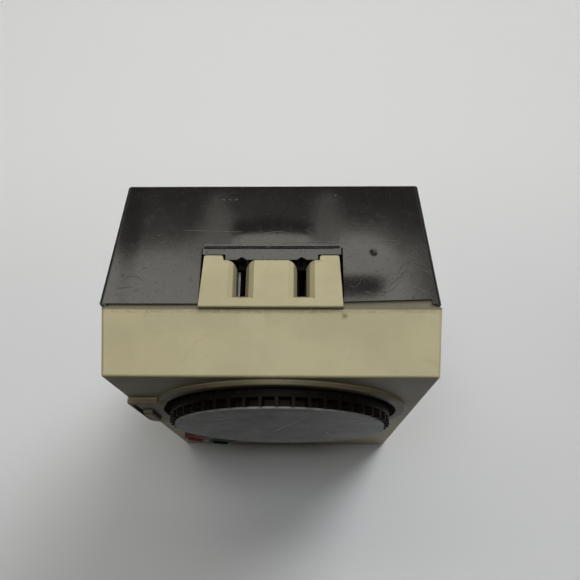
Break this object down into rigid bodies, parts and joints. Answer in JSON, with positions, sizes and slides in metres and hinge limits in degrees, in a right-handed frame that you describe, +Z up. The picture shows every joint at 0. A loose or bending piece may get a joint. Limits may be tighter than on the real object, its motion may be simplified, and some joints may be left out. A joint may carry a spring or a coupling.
{
  "type": "plug-in programmable timer",
  "caption": "Boxy plug-in mechanical timer with a pocketed rim dial and trippers on its front, a two-slot outlet on its top and two plug blades on its back.",
  "frame": {"origin": "on the base, midway between the side walls and midway between the flat of the face and the back", "axes": "+X to the right as seen from the front, +Y from the face to the back where the blades point, +Z up to the outlet"},
  "size_m": [0.071, 0.0657, 0.0996],
  "materials": {
    "cream_plastic": "aged beige moulded plastic, satin",
    "black_plastic": "brown-black moulded plastic with a worn gloss",
    "carrier_plastic": "dull black moulded plastic",
    "dial_black": "very dark brown plastic",
    "dial_grey": "dull grey scratched plastic",
    "tripper_red": "red plastic",
    "tripper_green": "dark green plastic",
    "knob_plastic": "beige plastic, darker than the shell",
    "gear_nylon": "natural nylon",
    "phenolic": "brown phenolic",
    "contact_brass": "rolled strip, slightly dull",
    "blade_metal": "plated brass, worn",
    "plate_steel": "zinc-plated sheet",
    "motor_steel": "drawn sheet",
    "screw_steel": "zinc-plated",
    "coil_wire": "enamelled winding under tape",
    "rotor_magnet": "ferrite",
    "lead_insulation": "insulated wire",
    "label_foil": "blank foil"
  },
  "bodies": {
    "root": {"front_shell": "cream_plastic", "rear_shell": "black_plastic", "outlet_carrier": "carrier_plastic", "outlet_contact_live": "contact_brass", "outlet_contact_neutral": "contact_brass", "plug_blade_live": "blade_metal", "plug_blade_neutral": "blade_metal", "blade_holder": "phenolic", "blade_holder_screws": "screw_steel", "housing_screws": "screw_steel", "rating_label": "label_foil", "dial_post": "screw_steel", "idler_post": "screw_steel", "motor_can": "motor_steel", "motor_cover": "motor_steel", "motor_bearing": "contact_brass", "motor_coil": "coil_wire", "motor_leads": "lead_insulation", "motor_screws": "screw_steel", "mechanism_plate": "plate_steel", "plate_screws": "screw_steel", "switch_base": "phenolic", "switch_screw": "screw_steel", "fixed_contact": "contact_brass", "live_strap": "contact_brass", "switched_strap": "contact_brass", "neutral_strap": "contact_brass"},
    "dial": {"dial_ring": "dial_black", "dial_disc": "dial_grey", "off_tripper": "tripper_red", "on_tripper": "tripper_green", "dial_gear": "gear_nylon", "clutch_washer": "plate_steel", "hub_clip": "plate_steel"},
    "idler": {"idler_pinion": "gear_nylon", "idler_wheel": "gear_nylon"},
    "motor_drive": {"motor_pinion": "contact_brass", "motor_shaft": "screw_steel", "motor_rotor": "rotor_magnet"},
    "trip_slide": {"trip_slide": "knob_plastic"},
    "contact": {"moving_contact": "contact_brass"}
  },
  "joints": [
    {"name": "dial_spin", "type": "hinge", "parent": "root", "child": "dial", "pos_m": [0.0009, -0.01895, 0.0653], "axis": [0, 1, 0], "continuous": true},
    {"name": "idler_spin", "type": "hinge", "parent": "root", "child": "idler", "pos_m": [0.0009, -0.01445, 0.0443], "axis": [0, 1, 0], "continuous": true},
    {"name": "motor_spin", "type": "hinge", "parent": "root", "child": "motor_drive", "pos_m": [0.0009, -0.00995, 0.0268], "axis": [0, 1, 0], "continuous": true},
    {"name": "trip_slide_travel", "type": "slide", "parent": "root", "child": "trip_slide", "axis": [1, 0, 0], "range_m": [-0.0016, 0]},
    {"name": "contact_swing", "type": "hinge", "parent": "root", "child": "contact", "pos_m": [-0.0262, -0.0125, 0.0473], "axis": [0, 1, 0], "range_deg": [-5.4, 0]}
  ],
  "couplings": [
    {"joint": "idler_spin", "follows": "dial_spin", "ratio": -5},
    {"joint": "motor_spin", "follows": "dial_spin", "ratio": 20},
    {"joint": "contact_swing", "follows": "trip_slide_travel", "rad_per_m": 55.866}
  ]
}
